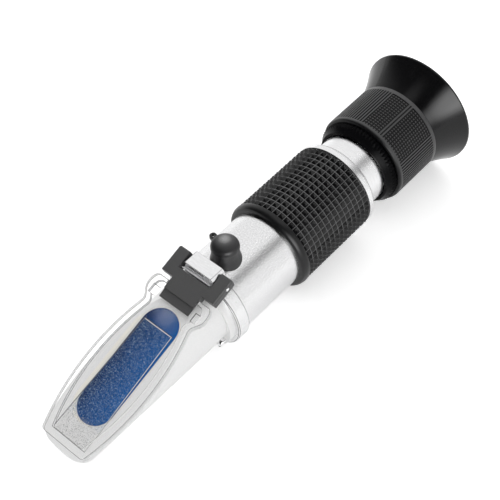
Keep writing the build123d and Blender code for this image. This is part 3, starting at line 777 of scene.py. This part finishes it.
def buildLeaf():
    clearSelection()
    shape = leafShape
    x, z = pinPlace.x - shape["front"] * mm, pinPlace.z
    bpy.ops.mesh.primitive_plane_add(size=2, location=(0, 0, 0))
    leaf = bpy.context.object
    leaf.name = leaf.data.name = "leafSpring"
    intoEdit(leaf)
    bpy.ops.mesh.select_mode(type="VERT")
    bpy.ops.mesh.select_all(action="SELECT")
    bpy.ops.transform.resize(value=(0, shape["half"] * mm, 1), center_override=(0, 0, 0))
    bpy.ops.mesh.remove_doubles(threshold=weld)  # leaves one edge, across the leaf
    bpy.ops.transform.translate(value=(x, 0, z + shape["foot"] * mm))
    low, high = shape["slotPart"]
    rise, lean = (shape["top"] - shape["bend"]) * mm, shape["lean"] * mm
    steps = [(0, (shape["bend"] - shape["foot"]) * mm)]
    steps += [(-lean * part, rise * part) for part in (low, high - low, 1 - high)]
    for stepX, stepZ in steps:
        bpy.ops.mesh.extrude_region_move(TRANSFORM_OT_translate={"value": (stepX, 0, stepZ)})
    for side in shape["slot"]:
        bpy.ops.mesh.select_all(action="SELECT")
        bpy.ops.mesh.bisect(plane_co=(0, side * mm, 0), plane_no=(0, 1, 0))
    slotLow, slotHigh = shape["slot"]
    slotZ = z + shape["bend"] * mm + rise * (low + high) / 2

    def isSlot(face):
        middle = face.calc_center_median()
        return slotLow * mm < middle.y < slotHigh * mm and abs(middle.z - slotZ) < hair

    choose(leaf, "faces", isSlot)
    bpy.ops.mesh.delete(type="FACE")
    outOfEdit()
    sheet = leaf.modifiers.new("gauge", "SOLIDIFY")
    sheet.thickness, sheet.offset = shape["thick"] * mm, 0
    bpy.ops.object.modifier_apply(modifier="gauge")
    softenEdges(leaf, shape["edge"] * mm, sharp=40, segments=1)
    smooth(leaf, angle=20, weigh=True)
    leaf.data.materials.append(leafMetal())
    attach(leaf, "frame")
    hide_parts("leaf_spring")
    print("leaf spring with its slot,", len(leaf.data.polygons), "faces")


# Daylight plate: rounded clear body with painted dark edge lines, and a frosted pad underneath with a painted
# bright line along its edge

plateShape = {
    "edge": 0.13, "segments": 2, "rimFrom": 2.6, "upright": 0.3, "level": 0.99,
    "padUnder": 0.2, "padThick": 0.02, "padGap": 0.01,
    "padLine": 0.16, "heel": -20.3, "side": -5, "stripMost": 20,  # the last in square mm
}
plateFinishes = [  # after the node's own: bevelled edges tinted dark, a painted reflection, walls, and the milky top of the rim
    {"name": "plateEdge", "tint": (0.14, 0.14, 0.142), "smooth": 0.10, "rough": 0.16, "clarity": 0.45},
    {"name": "plateWall", "tint": (0.93, 0.935, 0.937), "smooth": 0.25, "rough": 0.35, "clarity": 0.3},
    {"name": "plateRim", "tint": (0.97, 0.97, 0.968), "smooth": 0.06, "rough": 0.12, "clarity": 0.80},
]


def plateFace(face):  # how far it looks out, from 1 to -1, and its height over the measuring face
    return face.normal.dot(faceOut), faceCoords(face.calc_center_median())[2]


def isWall(face):
    return abs(plateFace(face)[0]) < plateShape["upright"]


def isRimTop(face):
    outward, height = plateFace(face)
    return outward > plateShape["level"] and height > plateShape["rimFrom"]


def isPadUnderside(face):
    outward, height = plateFace(face)
    return outward < -plateShape["level"] and abs(height - plateShape["padUnder"]) * mm < 5 * hair


def isPadLine(face):  # the edge with the painted highlight: across the heel and along the -Y side
    reach, side, _ = faceCoords(face.calc_center_median())
    isStrip = len(face.verts) == 4 and face.calc_area() < plateShape["stripMost"] * mm * mm
    return isStrip and (reach > plateShape["heel"] or side < plateShape["side"])


def buildPlate():
    plate = copyNode("daylight_plate", "daylightPlate")
    for look in plateFinishes:
        plate.data.materials.append(clearPlastic(**look))
    intoEdit(plate)
    choose(plate, "faces", isWall)
    finishChosen(2)
    choose(plate, "faces", isRimTop)
    finishChosen(3)
    outOfEdit()
    softenEdges(plate, plateShape["edge"] * mm, sharp=30, segments=plateShape["segments"], finish=1)
    smooth(plate, angle=40, weigh=True)

    pad = bpy.data.objects.new("frostedPad", plate.data.copy())
    bpy.context.scene.collection.objects.link(pad)
    intoEdit(pad)
    choose(pad, "faces", lambda face: not isPadUnderside(face))
    bpy.ops.mesh.delete(type="FACE")
    pad.data.materials.clear()
    pad.data.materials.append(frostSpeckle())
    pad.data.materials.append(padEdge())
    bpy.ops.mesh.select_all(action="SELECT")
    bpy.ops.mesh.dissolve_limited(angle_limit=radians(1))
    bpy.ops.mesh.inset(thickness=plateShape["padLine"] * mm, depth=0)
    bpy.ops.mesh.select_all(action="SELECT")
    finishChosen(0)
    choose(pad, "faces", isPadLine)
    finishChosen(1)
    bpy.ops.mesh.select_all(action="SELECT")
    bpy.ops.transform.translate(value=-faceOut * plateShape["padGap"] * mm)
    bpy.ops.mesh.extrude_region_move(TRANSFORM_OT_translate={"value": -faceOut * plateShape["padThick"] * mm})
    bpy.ops.mesh.select_all(action="SELECT")
    bpy.ops.mesh.normals_make_consistent(inside=False)
    outOfEdit()
    for piece in (plate, pad):
        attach(piece, "cover")
    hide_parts("daylight_plate")
    print("plate and its frosted pad,", len(pad.data.polygons), "pad faces")


buildGrip()
buildSleeve()
buildSoftened()
buildLeaf()
buildPlate()


# Floor, lamps and world

studio = {
    "fillLow": 0.27, "fillHigh": 1.01,  # light from all round, at the horizon and overhead
    "room": 0.03, "wall": 0.98,  # in mirrors: the dark room, and the white wall at the eyepiece's end
    "wallFrom": -0.12, "wallTo": 0.32,  # where the wall starts, along X
    "gapAt": -0.50, "gapInner": 0.06, "gapOuter": 0.24, "gapDepth": 0.64,  # a dark gap in it, along Y
    "through": 0.36,  # what is seen through clear plastic
    "glows": [  # soft lights that mirrors show: where, full within, none beyond, how bright
        ((-0.386, -0.80, 0.425), 0.16, 0.52, 5.8),
        ((-0.36, -0.93, 0.05), 0.22, 0.50, 1.1),
        ((0.02, 0.99, 0.02), 0.02, 0.16, 0.5),
        ((-0.2019, 0.4456, 0.8723), 0.002, 0.010, 6.5),
        ((0.02, 0.0, 1.0), 0.12, 0.36, 0.5),
    ],
    "floorSize": 6, "floorLift": 0.42, "floorShine": 0.20,  # then its own light, seen by eye and in mirrors
    "lamps": {
        "leftSoftbox": {"place": (0.33, 0.47, 0.31), "size": (0.70, 0.62), "watts": 1.7},
        "rightSoftbox": {"place": (0.02, -0.58, 0.27), "size": (0.90, 0.32), "watts": 0.9},
    },
}


def layFloor():
    tilt = atan2(collarLow.z - cupLow.z, cupHigh.x - collarLow.x)  # it touches the collar and the cup
    clearSelection()
    bpy.ops.mesh.primitive_plane_add(size=studio["floorSize"], location=(cupHigh.x, 0, cupLow.z),
                                     rotation=(0, tilt, 0))
    floor = bpy.context.object
    floor.name = "floor"
    bpy.ops.object.transform_apply()
    material, tree, shader, coords = newMaterial("paleFloor", Roughness=0.9, Base_Color=(0.92, 0.92, 0.92),
                                                 Emission_Color=(1, 1, 1))
    path = put(tree, "ShaderNodeLightPath")
    seen = mathNode(tree, "MAXIMUM", path.outputs["Is Camera Ray"], path.outputs["Is Transmission Ray"])
    lift = mathNode(tree, "MULTIPLY", seen, studio["floorLift"])
    shine = mathNode(tree, "MULTIPLY", path.outputs["Is Glossy Ray"], studio["floorShine"])
    wire(tree, mathNode(tree, "ADD", lift, shine), shader.inputs["Emission Strength"])
    floor.data.materials.append(material)


def addLamps():
    for name, lamp in studio["lamps"].items():
        data = bpy.data.lights.new(name, "AREA")
        data.shape, data.size, data.size_y, data.energy = "RECTANGLE", *lamp["size"], lamp["watts"]
        box = bpy.data.objects.new(name, data)
        bpy.context.scene.collection.objects.link(box)
        box.location = lamp["place"]
        box.visible_glossy = False  # mirrors show the world's glows in place of the lamps
        box.rotation_euler = (-Vector(lamp["place"])).to_track_quat("-Z", "Y").to_euler()


def makeWorld():
    world = bpy.data.worlds.new("studio")
    bpy.context.scene.world = world
    world.cycles.sampling_method = "NONE"  # each kind of ray then sees its own light
    world.use_nodes = True
    tree = world.node_tree
    tree.nodes.clear()
    end = put(tree, "ShaderNodeOutputWorld")
    way = put(tree, "ShaderNodeTexCoord").outputs["Generated"]
    parts = put(tree, "ShaderNodeSeparateXYZ")
    wall = put(tree, "ShaderNodeMapRange", interpolation_type="SMOOTHSTEP", From_Min=studio["wallFrom"],
               From_Max=studio["wallTo"], To_Min=studio["room"], To_Max=studio["wall"])
    gap = put(tree, "ShaderNodeMapRange", interpolation_type="SMOOTHSTEP", From_Min=studio["gapOuter"],
              From_Max=studio["gapInner"], To_Min=1.0, To_Max=1 - studio["gapDepth"])
    wire(tree, way, parts.inputs[0], parts.outputs["X"], wall.inputs["Value"])
    fromGap = mathNode(tree, "ABSOLUTE", mathNode(tree, "SUBTRACT", parts.outputs["Y"], studio["gapAt"]))
    wire(tree, fromGap, gap.inputs["Value"])
    shade = mathNode(tree, "MULTIPLY", wall.outputs[0], gap.outputs[0])
    for place, near, far, strength in studio["glows"]:
        apart = put(tree, "ShaderNodeVectorMath", operation="DISTANCE")
        apart.inputs[1].default_value = Vector(place).normalized()
        glow = put(tree, "ShaderNodeMapRange", interpolation_type="SMOOTHSTEP", From_Min=far, From_Max=near,
                   To_Min=0.0, To_Max=strength)
        wire(tree, way, apart.inputs[0], apart.outputs["Value"], glow.inputs["Value"])
        shade = mathNode(tree, "ADD", shade, glow.outputs[0])
    path = put(tree, "ShaderNodeLightPath")
    room = put(tree, "ShaderNodeBackground")
    white, fill, through = (put(tree, "ShaderNodeBackground", Strength=strength, Color=(1, 1, 1, 1))
                            for strength in (1.0, 1.0, studio["through"]))
    height = put(tree, "ShaderNodeMapRange", From_Min=0.0, From_Max=1.0, To_Min=studio["fillLow"],
                 To_Max=studio["fillHigh"])
    wire(tree, parts.outputs["Z"], height.inputs["Value"], height.outputs[0], fill.inputs["Strength"])
    mirror, clear, look = (put(tree, "ShaderNodeMixShader") for _ in range(3))
    wire(tree, shade, room.inputs["Color"],
         path.outputs["Is Glossy Ray"], mirror.inputs[0], fill.outputs[0], mirror.inputs[1],
         room.outputs[0], mirror.inputs[2],
         path.outputs["Is Transmission Ray"], clear.inputs[0], mirror.outputs[0], clear.inputs[1],
         through.outputs[0], clear.inputs[2],
         path.outputs["Is Camera Ray"], look.inputs[0], clear.outputs[0], look.inputs[1],
         white.outputs[0], look.inputs[2], look.outputs[0], end.inputs[0])


placeCamera()
layFloor()
makeWorld()
addLamps()
bpy.context.scene.view_settings.view_transform = "Standard"
print("camera, floor, world and lamps placed")
